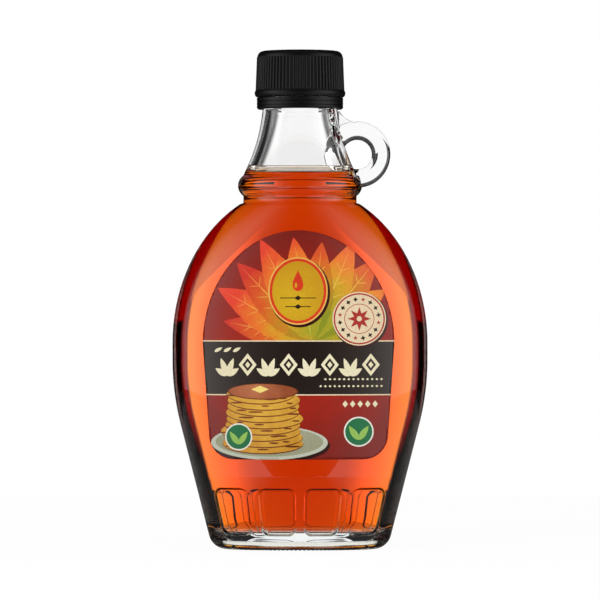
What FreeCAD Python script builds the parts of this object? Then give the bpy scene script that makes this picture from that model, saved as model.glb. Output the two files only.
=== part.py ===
"""Maple syrup bottle: a flat oval flask of clear glass with a small ring handle at its neck.

The bottle stands on its base. Its frame has the origin at the middle of the base, +Z up,
+X to the handle's side and -Y to the front, where the label is. All sizes are in millimetres.
"""
import FreeCAD, Part
import math
import os

from FreeCAD import Vector

# Body of the flask: half-width a(z) along X and half-depth b(z) along Y
BODY_HALF_WIDTH = 44.6
BODY_HALF_DEPTH = 22.0
HEEL_RADIUS = 4.5
FLANK_FOOT_Z = 3.0            # where the straight lower flank starts, above the heel
FLANK_FOOT_HALF_WIDTH = 31.4
FLANK_TOP_Z = 44.0            # where the straight flank turns into the rounded side
BELLY_LOW_Z = 66.0            # widest zone of the body
BELLY_HIGH_Z = 72.0
SHOULDER_HEIGHT = 55.0        # height of the elliptical shoulder's quarter
CREASE_Z = 25.7               # crease between the panelled foot and the label field
FOOT_HALF_DEPTH_LOSS = 2.0    # how much shallower the foot is at its bottom
DEPTH_TAPER_Z = 90.0          # above this the depth eases into the round neck

# Neck and finish, all round
NECK_ROOT_Z = 120.6
NECK_ROOT_RADIUS = 20.1
NECK_GROOVE_RADIUS = 19.8
BEAD_RADIUS = 21.7
BEAD_Z = 127.0
BEAD_HALF_HEIGHT = 3.6
CONE_FOOT_Z = 132.0
CONE_FOOT_RADIUS = 19.2
CONE_MIDDLE_Z = 139.5
CONE_MIDDLE_RADIUS = 16.1
CONE_TOP_Z = 153.4
FINISH_RADIUS = 12.6          # the straight top of the neck, under the cap
FINISH_STEP = 0.5             # how far the cone's top stands out from the finish
FINISH_TOP_Z = 172.4
CONE_TOP_RADIUS = FINISH_RADIUS + FINISH_STEP
THREAD_DEPTH = 1.0
THREAD_HEIGHT = 1.6
THREAD_ROUNDS = (162.6, 166.6)
THREAD_RADIUS = FINISH_RADIUS + THREAD_DEPTH
FINISH_WALL = 3.0
BORE_RADIUS = FINISH_RADIUS - FINISH_WALL

# Glass
WALL = 3.5
NECK_WALL = 3.2
FLOOR_Z = 6.5
FLOOR_RADIUS = 4.0            # rounding between the inner floor and the wall
PUSH_UP_DEPTH = 1.2
PUSH_UP_HALF_WIDTH = 25.0
PUSH_UP_HALF_DEPTH = 13.5

# Arched panels pressed into the foot, front and back
PANEL_SPANS = ((-28.8, -17.6), (-13.9, -1.6), (1.6, 13.9), (17.6, 28.8))
PANEL_BOTTOM_Z = 5.6
PANEL_TOP_Z = 21.5
PANEL_CORNER = 2.6
PANEL_DEPTH = 0.9

# Ring handle
HANDLE_X = 20.0
HANDLE_Z = 137.9
HANDLE_OUTER_RADIUS = 11.6
HANDLE_HOLE_RADIUS = 5.15
HANDLE_THICKNESS = 8.0
HANDLE_EDGE_RADIUS = 2.2
HANDLE_TOP_Z = 152.9          # where the handle's upper root meets the neck
HANDLE_TOP_X = 13.9

HANDLE_BEND_RUN = 0.33        # where the web's upper edge bends, as a share of its run outwards
HANDLE_BEND_RISE = 0.3        # and as a share of its rise

# Syrup
LEVEL_Z = 131.8

# Cap: ribbed screw cap with a tamper band below it
CAP_TOP_THICKNESS = 1.7
CAP_HEIGHT = 16.1
CAP_CLEARANCE = 0.3           # between the thread and the cap's inside
CAP_WALL = 1.7
CAP_TAPER = 0.5               # how much narrower the skirt is at its top
CAP_CROWN_RADIUS = 2.2
CAP_BEAD_OUT = 0.3            # how far the bead at the cap's foot stands out
CAP_BEAD_HEIGHT = 2.6
CAP_TOP_Z = FINISH_TOP_Z + CAP_TOP_THICKNESS
CAP_BOTTOM_Z = CAP_TOP_Z - CAP_HEIGHT
CAP_INNER_RADIUS = THREAD_RADIUS + CAP_CLEARANCE
CAP_RADIUS = CAP_INNER_RADIUS + CAP_WALL
CAP_TOP_RADIUS = CAP_RADIUS - CAP_TAPER
CAP_BEAD_RADIUS = CAP_RADIUS + CAP_BEAD_OUT
RIB_COUNT = 72
RIB_DEPTH = 0.35
BAND_HEIGHT = 4.0
BAND_GAP = 0.3                # between the band and the cap
BAND_CLEARANCE = 0.3          # between the band and the neck
BAND_IN = 0.5                 # how far the band lies in from the cap's skirt
BAND_CHAMFER = 0.5
BAND_GROOVE_DEPTH = 0.35
BAND_TOP_Z = CAP_BOTTOM_Z - BAND_GAP
BAND_BOTTOM_Z = BAND_TOP_Z - BAND_HEIGHT
BAND_RADIUS = CAP_RADIUS - BAND_IN

# Label
LABEL_SHIFT_X = -0.5
LABEL_HALF_WIDTH = 33.2
LABEL_BOTTOM_Z = 31.8
LABEL_TOP_Z = 111.1
LABEL_DOME_Z = 72.0           # the label's top is half an ellipse above this height
LABEL_FOOT_HALF_WIDTH = 31.0
LABEL_CORNER = 8.5
LABEL_THICKNESS = 0.25

REACH = 100.0                 # long enough to pass through the whole bottle
NECK_OVERLAP = 6.0            # how far the neck's solid goes down into the body
BORE_OVERLAP = 3.0            # how far the way through the neck goes down into the body's hollow

BODY_STATIONS = (CREASE_Z, 34.0, FLANK_TOP_Z, 55.0, BELLY_LOW_Z, BELLY_HIGH_Z, 80.0,
                 DEPTH_TAPER_Z, 98.0, 105.0, 111.0, 116.0, NECK_ROOT_Z)


def half_width(z):
    """Half of the body's width at a height: a straight flank, an arc, and an elliptical shoulder."""
    rise = BELLY_LOW_Z - FLANK_TOP_Z
    run = FLANK_TOP_Z - FLANK_FOOT_Z
    # The arc that turns the flank upright leaves it at the flank's own slope.
    gain = BODY_HALF_WIDTH - FLANK_FOOT_HALF_WIDTH
    slope = gain / (run + rise / 2)
    for _ in range(8):
        tilt = math.atan(slope)
        radius = rise / math.sin(tilt)
        slope = (gain - radius * (1 - math.cos(tilt))) / run
    if z <= FLANK_TOP_Z:
        return FLANK_FOOT_HALF_WIDTH + slope * (z - FLANK_FOOT_Z)
    if z <= BELLY_LOW_Z:
        return BODY_HALF_WIDTH - radius + math.sqrt(radius ** 2 - (BELLY_LOW_Z - z) ** 2)
    if z <= BELLY_HIGH_Z:
        return BODY_HALF_WIDTH
    height = (z - BELLY_HIGH_Z) / SHOULDER_HEIGHT
    return max(BODY_HALF_WIDTH * math.sqrt(max(0.0, 1 - height ** 2)), NECK_ROOT_RADIUS)


def half_depth(z):
    """Half of the body's depth at a height: a tapered foot, an even body, and an ease to the neck."""
    if z < CREASE_Z:
        return BODY_HALF_DEPTH - FOOT_HALF_DEPTH_LOSS * (CREASE_Z - z) / CREASE_Z
    if z <= DEPTH_TAPER_Z:
        return BODY_HALF_DEPTH
    share = (z - DEPTH_TAPER_Z) / (NECK_ROOT_Z - DEPTH_TAPER_Z)
    return BODY_HALF_DEPTH + (NECK_ROOT_RADIUS - BODY_HALF_DEPTH) * share ** 2


def oval(a, b, z):
    """A closed elliptical wire at a height, a along X and b along Y."""
    if abs(a - b) < 1e-6:
        edge = Part.Circle(Vector(0, 0, z), Vector(0, 0, 1), a).toShape()
    else:
        edge = Part.Ellipse(Vector(a, 0, z), Vector(0, b, z), Vector(0, 0, z)).toShape()
    return Part.Wire([edge])


def section(z, inset):
    """The body's outline at a height, moved inwards."""
    return oval(half_width(z) - inset, half_depth(z) - inset, z)


def upper_body(inset):
    """The body from the crease to the neck, moved inwards all round."""
    return Part.makeLoft([section(z, inset) for z in BODY_STATIONS], True)


def lower_body(inset, bottom, radius):
    """The straight-sided foot below the crease, moved inwards all round, with a rounded heel."""
    foot = Part.makeLoft([section(bottom, inset), section(CREASE_Z, inset)], True, True)
    heel = [edge for edge in foot.Edges
            if edge.BoundBox.ZMax - edge.BoundBox.ZMin < 0.01 and edge.CenterOfMass.z < bottom + 0.01]
    return foot.makeFillet(radius, heel)


def revolve(points):
    """A solid turned round Z from (radius, z) points; a pair in brackets is an arc: via, then its end."""
    edges = []
    for start, end in zip(points, points[1:] + points[:1]):
        first = start[-1] if isinstance(start, list) else start
        if isinstance(end, list):
            last = end[-1]
            arc = Part.Arc(Vector(first[0], 0, first[1]), Vector(end[0][0], 0, end[0][1]),
                           Vector(last[0], 0, last[1]))
            edges.append(arc.toShape())
        else:
            edges.append(Part.LineSegment(Vector(first[0], 0, first[1]),
                                          Vector(end[0], 0, end[1])).toShape())
    face = Part.Face(Part.Wire(edges))
    return face.revolve(Vector(0, 0, 0), Vector(0, 0, 1), 360)


def neck_outside():
    """The round neck: groove, bead, hollow-sided cone and the plain finish with its thread rounds."""
    root_z = NECK_ROOT_Z - NECK_OVERLAP
    points = [
        (0, root_z),
        (NECK_GROOVE_RADIUS, root_z),
        (NECK_GROOVE_RADIUS, BEAD_Z - BEAD_HALF_HEIGHT),
        [(BEAD_RADIUS, BEAD_Z), (NECK_GROOVE_RADIUS, BEAD_Z + BEAD_HALF_HEIGHT)],
        (CONE_FOOT_RADIUS, CONE_FOOT_Z),
        [(CONE_MIDDLE_RADIUS, CONE_MIDDLE_Z), (CONE_TOP_RADIUS, CONE_TOP_Z)],
        (FINISH_RADIUS, CONE_TOP_Z + 1.0),
        (FINISH_RADIUS, FINISH_TOP_Z),
        (0, FINISH_TOP_Z),
    ]
    neck = revolve(points)
    for z in THREAD_ROUNDS:
        half = THREAD_HEIGHT / 2
        root = FINISH_RADIUS - THREAD_DEPTH
        neck = neck.fuse(revolve([(root, z - half), (FINISH_RADIUS, z - half),
                                  [(THREAD_RADIUS, z), (FINISH_RADIUS, z + half)], (root, z + half)]))
    return neck


def neck_inside():
    """The way through the neck: it follows the cone and narrows to the bore."""
    return revolve([
        (0, NECK_ROOT_Z - BORE_OVERLAP),
        (NECK_ROOT_RADIUS - NECK_WALL, NECK_ROOT_Z - BORE_OVERLAP),
        (NECK_ROOT_RADIUS - NECK_WALL, BEAD_Z),
        (CONE_FOOT_RADIUS - NECK_WALL, CONE_FOOT_Z),
        [(CONE_MIDDLE_RADIUS - NECK_WALL, CONE_MIDDLE_Z), (BORE_RADIUS, CONE_TOP_Z)],
        (BORE_RADIUS, FINISH_TOP_Z + 1.0),
        (0, FINISH_TOP_Z + 1.0),
    ])


def prism(edges):
    """A closed outline in the XZ plane, drawn out through the whole bottle along Y."""
    return Part.Face(Part.Wire(edges)).extrude(Vector(0, 2 * REACH, 0)).translated(Vector(0, -REACH, 0))


def line(p, q):
    return Part.LineSegment(Vector(p[0], 0, p[1]), Vector(q[0], 0, q[1])).toShape()


def arc(p, via, q):
    return Part.Arc(Vector(p[0], 0, p[1]), Vector(via[0], 0, via[1]), Vector(q[0], 0, q[1])).toShape()


def panel_outline(left, right):
    """An arch: square at the foot and rounded at its two upper corners."""
    turn = PANEL_CORNER * (1 - math.sqrt(0.5))
    spring = PANEL_TOP_Z - PANEL_CORNER
    return [
        line((left, PANEL_BOTTOM_Z), (right, PANEL_BOTTOM_Z)),
        line((right, PANEL_BOTTOM_Z), (right, spring)),
        arc((right, spring), (right - turn, PANEL_TOP_Z - turn), (right - PANEL_CORNER, PANEL_TOP_Z)),
        line((right - PANEL_CORNER, PANEL_TOP_Z), (left + PANEL_CORNER, PANEL_TOP_Z)),
        arc((left + PANEL_CORNER, PANEL_TOP_Z), (left + turn, PANEL_TOP_Z - turn), (left, spring)),
        line((left, spring), (left, PANEL_BOTTOM_Z)),
    ]


def panel_recesses():
    """What the arched panels take out of the foot's outside, front and back."""
    skin = lower_body(0.0, 0.0, HEEL_RADIUS).cut(lower_body(PANEL_DEPTH, 0.0, HEEL_RADIUS))
    return [skin.common(prism(panel_outline(left, right))) for left, right in PANEL_SPANS]


def push_up():
    """The shallow hollow under the base."""
    rim = oval(PUSH_UP_HALF_WIDTH, PUSH_UP_HALF_DEPTH, -0.01)
    top = oval(PUSH_UP_HALF_WIDTH - 2 * PUSH_UP_DEPTH, PUSH_UP_HALF_DEPTH - 2 * PUSH_UP_DEPTH,
               PUSH_UP_DEPTH)
    return Part.makeLoft([rim, top], True)


def handle():
    """The ring handle: a round ring of rounded-square section, and the web up to its upper root."""
    inner = HANDLE_HOLE_RADIUS
    outer = HANDLE_OUTER_RADIUS
    half = HANDLE_THICKNESS / 2
    edge = HANDLE_EDGE_RADIUS
    turn = edge * (1 - math.sqrt(0.5))
    ring = revolve([
        (inner, edge - half), [(inner + turn, turn - half), (inner + edge, -half)],
        (outer - edge, -half), [(outer - turn, turn - half), (outer, edge - half)],
        (outer, half - edge), [(outer - turn, half - turn), (outer - edge, half)],
        (inner + edge, half), [(inner + turn, half - turn), (inner, half - edge)],
    ])
    ring.rotate(Vector(0, 0, 0), Vector(1, 0, 0), 90)
    ring.translate(Vector(HANDLE_X, 0, HANDLE_Z))
    top = HANDLE_Z + outer
    inside_x = HANDLE_TOP_X - 3.0
    bend = (HANDLE_TOP_X + (HANDLE_X - HANDLE_TOP_X) * HANDLE_BEND_RUN,
            top + (HANDLE_TOP_Z - top) * HANDLE_BEND_RISE)
    web = Part.Face(Part.Wire([
        line((inside_x, HANDLE_TOP_Z), (HANDLE_TOP_X, HANDLE_TOP_Z)),
        arc((HANDLE_TOP_X, HANDLE_TOP_Z), bend, (HANDLE_X, top - 0.1)),
        line((HANDLE_X, top - 0.1), (HANDLE_X, top - 2.0)),
        line((HANDLE_X, top - 2.0), (inside_x, HANDLE_Z + inner)),
        line((inside_x, HANDLE_Z + inner), (inside_x, HANDLE_TOP_Z)),
    ])).extrude(Vector(0, HANDLE_THICKNESS - 2 * edge, 0))
    web.translate(Vector(0, edge - half, 0))
    return ring.fuse(web)


def cavity():
    """The space inside the glass, from the inner floor to the mouth."""
    foot = lower_body(WALL, FLOOR_Z, FLOOR_RADIUS)
    return foot.fuse(upper_body(WALL)).fuse(neck_inside())


def bottle(inside):
    outside = lower_body(0.0, 0.0, HEEL_RADIUS).fuse(upper_body(0.0)).fuse(neck_outside())
    outside = outside.fuse(handle())
    glass = outside.cut(inside).cut(push_up())
    for recess in panel_recesses():
        glass = glass.cut(recess)
    return glass


def syrup(inside):
    below = Part.makeBox(2 * REACH, 2 * REACH, LEVEL_Z, Vector(-REACH, -REACH, 0))
    return inside.common(below)


def fluted_outline(radius, z):
    """A closed round outline of RIB_COUNT small arcs."""
    edges = []
    for rib in range(RIB_COUNT):
        points = []
        for share, r in ((0.0, radius - RIB_DEPTH), (0.5, radius), (1.0, radius - RIB_DEPTH)):
            angle = 2 * math.pi * (rib + share) / RIB_COUNT
            points.append(Vector(r * math.cos(angle), r * math.sin(angle), z))
        edges.append(Part.Arc(*points).toShape())
    return Part.Wire(edges)


def cap():
    """The hollow cap: a ribbed, slightly conical skirt, a plain bead at its foot and a round crown."""
    skirt_foot = CAP_BOTTOM_Z + CAP_BEAD_HEIGHT
    rib_top = CAP_TOP_Z - CAP_CROWN_RADIUS
    turn = CAP_CROWN_RADIUS * (1 - math.sqrt(0.5))
    bead_half = CAP_BEAD_HEIGHT / 2
    bead_root = CAP_BEAD_RADIUS - bead_half / 2
    ribs = Part.makeLoft([fluted_outline(CAP_RADIUS, CAP_BOTTOM_Z + bead_half),
                          fluted_outline(CAP_TOP_RADIUS, rib_top)], True, True)
    crown_radius = CAP_TOP_RADIUS - RIB_DEPTH / 2
    crown = revolve([
        (0, rib_top),
        (crown_radius, rib_top),
        [(crown_radius - turn, CAP_TOP_Z - turn), (crown_radius - CAP_CROWN_RADIUS, CAP_TOP_Z)],
        (0, CAP_TOP_Z),
    ])
    bead = revolve([
        (0, CAP_BOTTOM_Z), (bead_root, CAP_BOTTOM_Z),
        [(CAP_BEAD_RADIUS, CAP_BOTTOM_Z + bead_half), (bead_root, skirt_foot)],
        (0, skirt_foot),
    ])
    hollow = Part.makeCylinder(CAP_INNER_RADIUS, FINISH_TOP_Z - CAP_BOTTOM_Z + 1.0,
                               Vector(0, 0, CAP_BOTTOM_Z - 1.0))
    return ribs.fuse(crown).fuse(bead).cut(hollow)


def tamper_band():
    """The band left round the neck when the cap is first turned, with two fine grooves."""
    inner = CONE_TOP_RADIUS + BAND_CLEARANCE
    ring = revolve([(inner, BAND_BOTTOM_Z), (BAND_RADIUS - BAND_CHAMFER, BAND_BOTTOM_Z),
                    (BAND_RADIUS, BAND_BOTTOM_Z + BAND_CHAMFER), (BAND_RADIUS, BAND_TOP_Z), (inner, BAND_TOP_Z)])
    pitch = (BAND_TOP_Z - BAND_BOTTOM_Z) / 3
    for round_number in (1, 2):
        z = BAND_BOTTOM_Z + round_number * pitch
        ring = ring.cut(revolve([(BAND_RADIUS + 1.0, z - BAND_GROOVE_DEPTH),
                                 (BAND_RADIUS - BAND_GROOVE_DEPTH, z),
                                 (BAND_RADIUS + 1.0, z + BAND_GROOVE_DEPTH)]))
    return ring


def label_outline():
    """The label seen from the front: half an ellipse above, and a tapered foot with round corners."""
    middle = LABEL_SHIFT_X
    left = middle - LABEL_HALF_WIDTH
    right = middle + LABEL_HALF_WIDTH
    dome = Part.Ellipse(Vector(middle, 0, LABEL_TOP_Z), Vector(right, 0, LABEL_DOME_Z),
                        Vector(middle, 0, LABEL_DOME_Z))
    foot_left = middle - LABEL_FOOT_HALF_WIDTH
    foot_right = middle + LABEL_FOOT_HALF_WIDTH
    corner_z = LABEL_BOTTOM_Z + LABEL_CORNER
    turn = LABEL_CORNER * (1 - math.sqrt(0.5))
    return [
        dome.toShape(-math.pi / 2, math.pi / 2),
        line((right, LABEL_DOME_Z), (foot_right, corner_z)),
        arc((foot_right, corner_z), (foot_right - turn, LABEL_BOTTOM_Z + turn),
            (foot_right - LABEL_CORNER, LABEL_BOTTOM_Z)),
        line((foot_right - LABEL_CORNER, LABEL_BOTTOM_Z), (foot_left + LABEL_CORNER, LABEL_BOTTOM_Z)),
        arc((foot_left + LABEL_CORNER, LABEL_BOTTOM_Z), (foot_left + turn, LABEL_BOTTOM_Z + turn),
            (foot_left, corner_z)),
        line((foot_left, corner_z), (left, LABEL_DOME_Z)),
    ]


def label():
    """A thin skin on the front of the body."""
    skin = upper_body(-LABEL_THICKNESS).cut(upper_body(0.0))
    front = Part.Face(Part.Wire(label_outline())).extrude(Vector(0, -REACH, 0))
    return skin.common(front)


def export(name, shape):
    solids = shape.Solids
    if len(solids) != 1 or not solids[0].isValid():
        raise ValueError(name + " isn't one valid solid")
    solids[0].exportStep("parts/" + name + ".step")


os.makedirs("parts", exist_ok=True)
inside = cavity()
export("bottle", bottle(inside))
export("syrup", syrup(inside))
export("cap", cap())
export("tamper_band", tamper_band())
export("label", label())
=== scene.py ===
"""Looks of the maple syrup bottle: clear glass, dark syrup, black cap and a printed label.

The glass and the syrup are closed meshes of rings. The label is a thin closed shell of coloured fields.
Everything is in metres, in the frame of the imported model: +Z up, -Y to the front.
"""
import math

import bmesh
import bpy
import numpy as np
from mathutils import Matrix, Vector, geometry, noise


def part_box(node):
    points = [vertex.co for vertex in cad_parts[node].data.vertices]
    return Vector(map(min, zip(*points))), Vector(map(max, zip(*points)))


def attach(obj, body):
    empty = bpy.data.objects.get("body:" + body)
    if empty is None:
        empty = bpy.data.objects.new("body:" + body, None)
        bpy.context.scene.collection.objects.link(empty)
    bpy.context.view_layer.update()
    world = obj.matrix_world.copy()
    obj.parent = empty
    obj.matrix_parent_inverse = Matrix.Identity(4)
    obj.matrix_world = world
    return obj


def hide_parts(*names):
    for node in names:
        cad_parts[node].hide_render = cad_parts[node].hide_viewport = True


MM = 0.001

# Glass: the same driving sizes as the solids
HEEL_RADIUS = 4.5 * MM
FLANK_FOOT_Z = 3.0 * MM
FLANK_FOOT_HALF_WIDTH = 31.4 * MM
FLANK_TOP_Z = 44.0 * MM
BELLY_LOW_Z = 66.0 * MM
BELLY_HIGH_Z = 72.0 * MM
SHOULDER_HEIGHT = 55.0 * MM
CREASE_Z = 25.7 * MM
FOOT_HALF_DEPTH_LOSS = 2.0 * MM
DEPTH_TAPER_Z = 90.0 * MM
NECK_ROOT_Z = 120.6 * MM
NECK_ROOT_RADIUS = 20.1 * MM
NECK_GROOVE_RADIUS = 19.8 * MM
BEAD_Z = 127.0 * MM
BEAD_RADIUS = 21.7 * MM
BEAD_HALF_HEIGHT = 3.6 * MM
CONE_FOOT = (19.2 * MM, 132.0 * MM)
CONE_MIDDLE = (16.1 * MM, 139.5 * MM)
CONE_TOP = (13.1 * MM, 153.4 * MM)
FINISH_RADIUS = 12.6 * MM
BORE_RADIUS = 9.6 * MM
WALL = 3.5 * MM
NECK_WALL = 3.2 * MM
FLOOR_RADIUS = 4.0 * MM
PUSH_UP_DEPTH = 1.2 * MM
PUSH_UP = (25.0 * MM, 13.5 * MM)
HANDLE_CENTRE = (20.0 * MM, 137.9 * MM)
HANDLE_OUTER = 11.6 * MM
HANDLE_HOLE = 5.15 * MM
HANDLE_THICKNESS = 8.0 * MM
HANDLE_EDGE = 2.2 * MM
HANDLE_ROOT = (13.9 * MM, 152.9 * MM)
HANDLE_BEND_RUN = 0.33          # the web's bend, as shares of the way from its root to the ring's top
HANDLE_BEND_RISE = 0.3
WEB_EDGE = 1.3 * MM
WEB_BEHIND = 3.0 * MM           # how far the web reaches back into the neck
WEB_BELOW = 2.0 * MM            # and how far down into the ring

# Arched panels of the foot, as shares of the half-width, and their heights
PANEL_SPANS = ((-0.83, -0.51), (-0.405, -0.045), (0.045, 0.405), (0.51, 0.83))
PANEL_LOW_Z = 5.6 * MM
PANEL_HIGH_Z = 21.5 * MM
PANEL_CORNER = 2.6 * MM
PANEL_DEPTH = 0.9 * MM
PANEL_EDGE = 0.42 * MM
PANEL_INSIDE = 0.5              # the wall inside follows this share of the depth

# Meshes
AROUND_EVEN = 400               # points round each ring, before those added at the panels' edges
EDGE_OFFSETS = (-0.42, -0.28, -0.16, -0.05, 0.05, 0.16, 0.28, 0.42)     # of those, in mm from an edge
CORNER_OFFSETS = (0.8, 1.2, 1.6, 2.0, 2.4)                              # and in mm into the panel
FOOT_STEP = 0.3 * MM            # between rings: in the foot, in the body and in the shoulder
BODY_STEP = 2.2 * MM
SHOULDER_STEP = 1.0 * MM
SHOULDER_Z = 104 * MM
HANDLE_STEPS = 144
HANDLE_CORNER_STEPS = 8
KNURL_COUNT = 112               # shallow notches round the ring that the bottle stands on
KNURL_DEPTH = 0.3 * MM
RIPPLE_SCALE = 55.0
RIPPLE_SHARE = 0.004
SYRUP_REACH = 0.25 * MM         # how far the syrup reaches into the glass
MENISCUS = 3.0 * MM             # how high the syrup climbs the wall as a thin film
MENISCUS_WIDTH = 1.6 * MM
MENISCUS_FALL = 9
FILM = 0.16 * MM
LEVEL_DROP = 1.6 * MM           # the flat of the surface lies this far under the solid's even top

# Label: its outline is the solid's, and its print is laid out in the same frame
LABEL_X = -0.5 * MM
LABEL_HALF_WIDTH = 33.2 * MM
LABEL_FOOT_HALF_WIDTH = 31.0 * MM
LABEL_LOW_Z = 31.8 * MM
LABEL_DOME_Z = 72.0 * MM
LABEL_HIGH_Z = 111.1 * MM
LABEL_CORNER = 8.5 * MM
PRINT_OUT = 0.14 * MM           # the print's face stands this far out from the glass
PRINT_IN = 0.05 * MM            # and its back lies this far inside it
PRINT_GRID = 1.1 * MM

# Print: places are (x, z), and sizes with no unit are in mm
LEAF_ROOT = (4.0 * MM, 73.2 * MM)
LEAF_SPRAY = ((-78, 31, 10.5), (-61, 37, 13), (-44, 37, 13.5), (-27, 39, 13), (74, 24, 10), (56, 31, 12.5),
              (39, 36, 13.5), (23, 37, 13), (6, 34, 12), (-10, 36, 12))     # lean in degrees, length, width
LEAF_TEETH = 9
RIB_WIDTH = 0.45
SIDE_RIB_WIDTH = 0.26
SIDE_RIB_PLACES = (0.42, 0.56, 0.70)
SIDE_RIB_LEAN = 48
PLAQUE = (-0.7 * MM, 90.1 * MM)
PLAQUE_FIELDS = (("gold", 10.3, 11.7), ("red", 9.8, 11.2), ("yellow", 8.9, 10.3))
PLAQUE_LINES = ((-2.4, 6.2), (-5.4, 4.4))       # height from the middle, half-length
DROP_HALF_WIDTH = 2.6
DROP_HALF_HEIGHT = 3.6
SEAL = (20.5 * MM, 80.5 * MM)
SEAL_RADIUS = 9.3
SEAL_FIELDS = (("cream", 1.0), ("red_dull", 0.955), ("cream", 0.90), ("red_dull", 0.56), ("cream", 0.535))
SEAL_MARKS = 16
SEAL_MARK_RADIUS = 6.8
BAND_SIDE = 40 * MM
BAND_LOW_Z = 54.4 * MM
BAND_HIGH_Z = 72.6 * MM
BAND_LINE = 0.42 * MM
ORNAMENT_COUNT = 8
ORNAMENT_X = -25.2
ORNAMENT_PITCH = 7.1
ORNAMENT_Z = 64.6
ORNAMENT_LOZENGES = (("ivory", 3.1, 3.9), ("dark", 1.8, 2.3), ("ivory", 0.9, 1.15))
ORNAMENT_LEANS = (-58, -20, 20, 58)
DOT_ROWS = ((59.6, 13), (57.2, 14))             # height, count
DOT_X = 28.2
DOT_PITCH = 1.62
PLATE_FIELDS = (("shade", -10.2, 36.6, 20.6, 6.0), ("plate_rim", -10.6, 37.6, 20.2, 5.9),
                ("plate", -10.6, 37.9, 18.6, 5.1))
STACK_X = -12.8
STACK_LOW_Z = 37.2
STACK_LAYERS = 9
STACK_PITCH = 2.15
GREEN_MARKS = ((-21.2, 39.6, 4.7), (20.3, 41.4, 5.2))

# Inks, as (place, colour) stops; a run says where the colour starts from, and how far it takes to run
LEAF_RUN = {"centre": (0.008, -0.021, 0.079)}
PLAQUE_RUN = {"centre": (-0.003, -0.022, 0.086), "spread": 16 * MM}
CAKE_RUN = {"centre": (-0.012, -0.022, 0.05), "spread": 22 * MM, "wander": 1.4}
GLAZE_RUN = {"centre": (-0.016, -0.022, 0.057), "spread": 12 * MM, "wander": 0.8}
INKS = {
    # The ground is the label's red print; its darker, duller rim, from about halfway out, is painted shade
    # and sheen of the label curving round the body.
    "ground": (((0.5, (160, 30, 10)), (1.0, (122, 27, 18))), {}),
    "leaf": (((0.10, (166, 160, 34)), (0.36, (214, 158, 30)), (0.58, (232, 118, 38)), (0.80, (226, 62, 38))),
             LEAF_RUN),
    "leaf_deep": (((0.10, (140, 146, 28)), (0.36, (200, 132, 26)), (0.58, (218, 92, 32)),
                   (0.80, (204, 48, 32))), LEAF_RUN),
    "leaf_rib": (((0.10, (206, 196, 84)), (0.45, (238, 178, 70)), (0.85, (240, 120, 70))), LEAF_RUN),
    "shade": (((0.0, (58, 20, 14)), (1.0, (48, 18, 14))), {}),
    "gold": (((0.0, (240, 190, 96)), (1.0, (226, 168, 74))), {}),
    "red": (((0.0, (222, 62, 22)), (1.0, (206, 50, 18))), {}),
    "yellow": (((0.0, (214, 172, 22)), (1.0, (196, 140, 16))), PLAQUE_RUN),
    "ink": (((0.0, (44, 28, 18)), (1.0, (36, 22, 14))), {}),
    "cream": (((0.0, (236, 218, 184)), (1.0, (222, 198, 160))), {}),
    "ivory": (((0.0, (240, 232, 198)), (1.0, (226, 214, 176))), {}),
    "red_dull": (((0.0, (178, 44, 34)), (1.0, (160, 36, 28))), {}),
    "dark": (((0.0, (34, 23, 18)), (1.0, (44, 34, 28))), {}),
    "plate_rim": (((0.0, (206, 208, 192)), (1.0, (186, 190, 172))), {}),
    "plate": (((0.0, (176, 180, 158)), (1.0, (150, 150, 120))), {}),
    "cake": (((0.0, (222, 172, 62)), (1.0, (196, 136, 38))), CAKE_RUN),
    "crust": (((0.0, (134, 66, 26)), (1.0, (96, 42, 18))), CAKE_RUN),
    "glaze": (((0.0, (186, 112, 72)), (1.0, (150, 74, 40))), GLAZE_RUN),
    "butter": (((0.0, (246, 226, 140)), (1.0, (236, 206, 104))), {}),
    "white": (((0.0, (236, 236, 226)), (1.0, (226, 226, 214))), {}),
    "green": (((0.0, (30, 128, 76)), (1.0, (22, 104, 60))), {}),
    "lime": (((0.0, (172, 206, 96)), (1.0, (140, 184, 84))), {}),
    "paper_back": (((0.0, (206, 196, 180)), (1.0, (196, 184, 168))), {"roughness": 0.7}),
}
CLOUD_SCALE = 260.0
GRAIN_SCALE = 2600.0
PRINT_GRAIN = 0.25

# Glass, syrup and cap
GLASS_IOR = 1.52
GLASS_COLOUR = (0.80, 0.93, 0.86, 1)
GLASS_DENSITY = 6.0
SYRUP_IOR = 1.46
SYRUP_COLOUR = (0.950, 0.632, 0.04, 1)
SYRUP_DENSITY = 250.0
CAP_COLOUR = (0.0025, 0.0025, 0.003, 1)
CAP_IOR = 1.34
CAP_ROUGHNESS = (0.36, 0.50)
CAP_GRAIN_SCALE = 1800.0
CAP_SCUFF_SCALE = 120.0

# The studio, as (degrees from straight behind the bottle, brightness)
SEEN_THROUGH_GLASS = ((0, 1.0), (12, 1.0), (20, 1.65), (44, 1.8), (50, 0.0), (66, 0.0), (74, 1.1),
                      (98, 1.1), (104, 0.0), (160, 0.0), (170, 0.5), (180, 0.5))
SEEN_THROUGH_CLEAR_GLASS = ((0, 1.0), (13, 1.0), (18, 0.02), (50, 0.02), (66, 0.3), (80, 1.0), (96, 1.0),
                            (108, 0.1), (150, 0.1), (165, 1.0), (180, 1.0))
MIRRORED = ((0, 0.0), (78, 0.0), (90, 1.5), (105, 2.2), (125, 1.8), (139, 0.8), (150, 0.3), (165, 0.05),
            (180, 0.02))
EVEN_LIGHT = 0.5
LAMP_TOP = (18, 40)             # the mirrored lamps fade out between these degrees above level
ABOVE_LAMPS = 0.15
WALL_TOP = (12, 28)             # and the wall seen through the syrup between these
FLOOR_EDGE = -8                 # below this many degrees, white floor is seen through the glass
WALLS_PASSED_IN_SYRUP = 5       # a ray that has passed this many walls has been through the syrup too
FLOOR_RADIUS_OUT = 0.5
FLOOR_PAPER = (0.92, 0.92, 0.92, 1)
FLOOR_WHITENESS = 0.93
FLOOR_LEVEL = 1.02
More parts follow.
